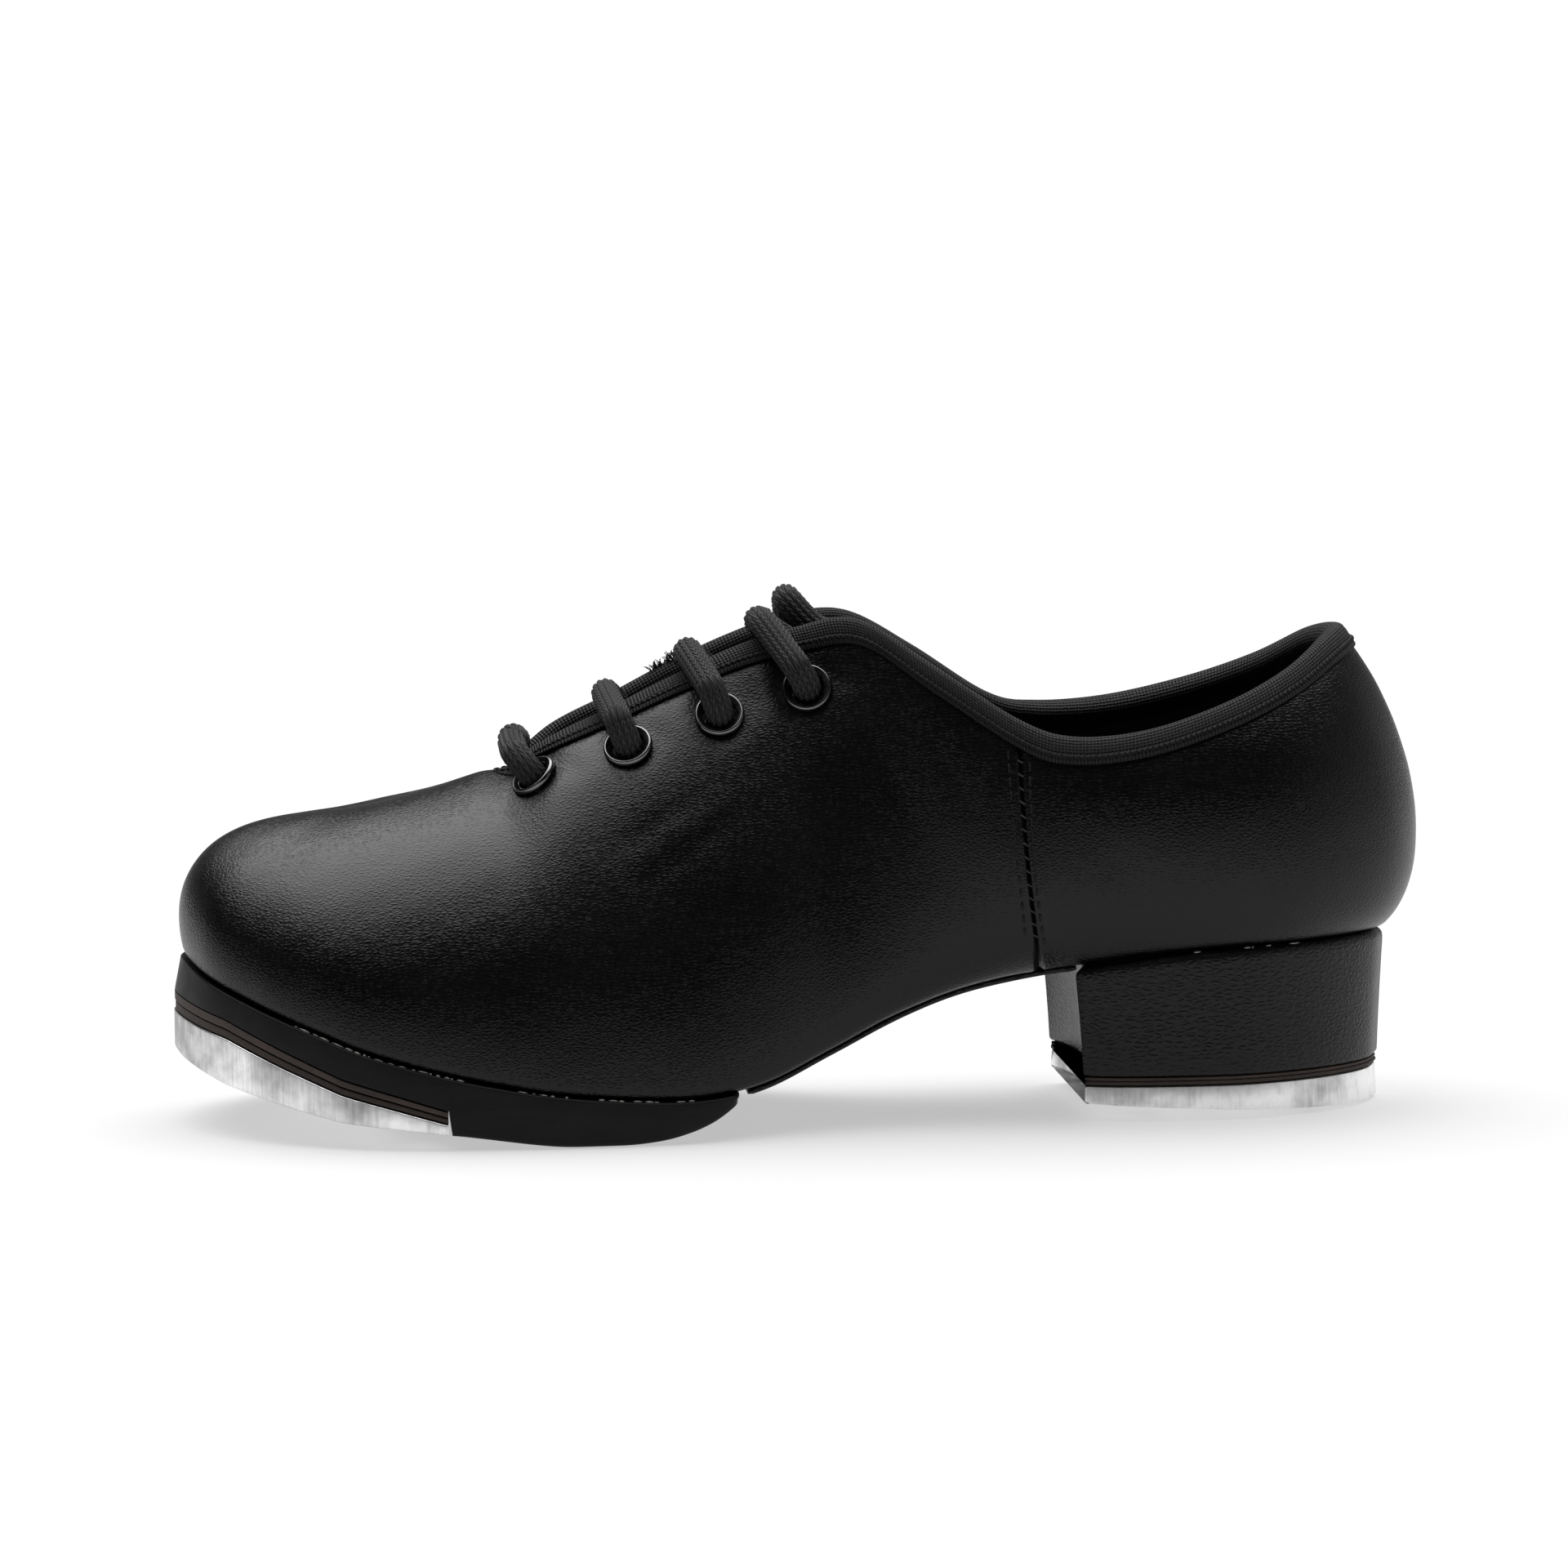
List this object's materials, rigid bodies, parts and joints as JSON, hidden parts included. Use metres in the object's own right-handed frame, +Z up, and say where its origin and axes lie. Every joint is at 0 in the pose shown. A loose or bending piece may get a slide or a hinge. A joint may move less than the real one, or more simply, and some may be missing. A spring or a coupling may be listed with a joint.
{
  "type": "tap shoe",
  "caption": "Left low-heeled lace-up tap shoe: black leather oxford upper, covered block heel, aluminium taps screwed on under toe and heel.",
  "frame": {"origin": "on the floor under the middle of the shoe, halfway between the toe tip and the back of the heel and between its sides", "axes": "+Z up, the toe points along -X and the heel along +X, the outer (lateral) side of the foot is -Y"},
  "size_m": [0.2525, 0.0894, 0.1059],
  "materials": {
    "upper_leather": "fine grain, satin",
    "lining_fabric": "matt woven",
    "stiffener": "matt fibre sheet",
    "binding_ribbon": "ribbed grosgrain",
    "lace_cord": "round braid",
    "aglet_plastic": "gloss",
    "eyelet_metal": "dark gunmetal, gloss",
    "leatherboard": "matt cut edge",
    "filler_cork": "matt cork",
    "sole": "satin black edge",
    "heel_wood": "plain",
    "tap_aluminium": "ground edge, brushed foot",
    "steel": "plain"
  },
  "bodies": {
    "shoe": {"vamp": "upper_leather", "heel_quarter": "upper_leather", "vamp_lining": "lining_fabric", "quarter_lining": "lining_fabric", "heel_counter": "stiffener", "topline_binding": "binding_ribbon", "tongue": "upper_leather", "eyelet_lateral_1": "eyelet_metal", "eyelet_lateral_2": "eyelet_metal", "eyelet_lateral_3": "eyelet_metal", "eyelet_lateral_4": "eyelet_metal", "eyelet_medial_1": "eyelet_metal", "eyelet_medial_2": "eyelet_metal", "eyelet_medial_3": "eyelet_metal", "eyelet_medial_4": "eyelet_metal", "shoelace": "lace_cord", "aglet_lateral": "aglet_plastic", "aglet_medial": "aglet_plastic", "insole_board": "leatherboard", "sock_liner": "lining_fabric", "bottom_filler": "filler_cork", "waist_cover": "upper_leather", "shank": "steel", "outsole": "sole", "heel_cover": "upper_leather", "heel_block": "heel_wood", "heel_board": "leatherboard", "heel_tap": "tap_aluminium", "heel_tap_screw_1": "steel", "heel_tap_screw_2": "steel", "heel_tap_screw_3": "steel", "heel_nail_1": "steel", "heel_nail_2": "steel", "heel_nail_3": "steel", "heel_nail_4": "steel"},
    "forefoot": {"toe_tap": "tap_aluminium", "toe_board_upper": "leatherboard", "toe_board_lower": "leatherboard", "toe_tap_screw_1": "steel", "toe_tap_screw_2": "steel", "toe_tap_screw_3": "steel", "toe_puff": "stiffener"}
  },
  "joints": [
    {"name": "forefoot_flex", "type": "hinge", "parent": "shoe", "child": "forefoot", "pos_m": [-0.045, 0, 0.012], "axis": [0, 1, 0], "range_deg": [0, 20], "stiffness_Nm_per_rad": 3.5, "deforming": ["vamp", "vamp_lining", "outsole", "insole_board", "sock_liner", "bottom_filler", "tongue", "topline_binding", "shoelace"]}
  ]
}
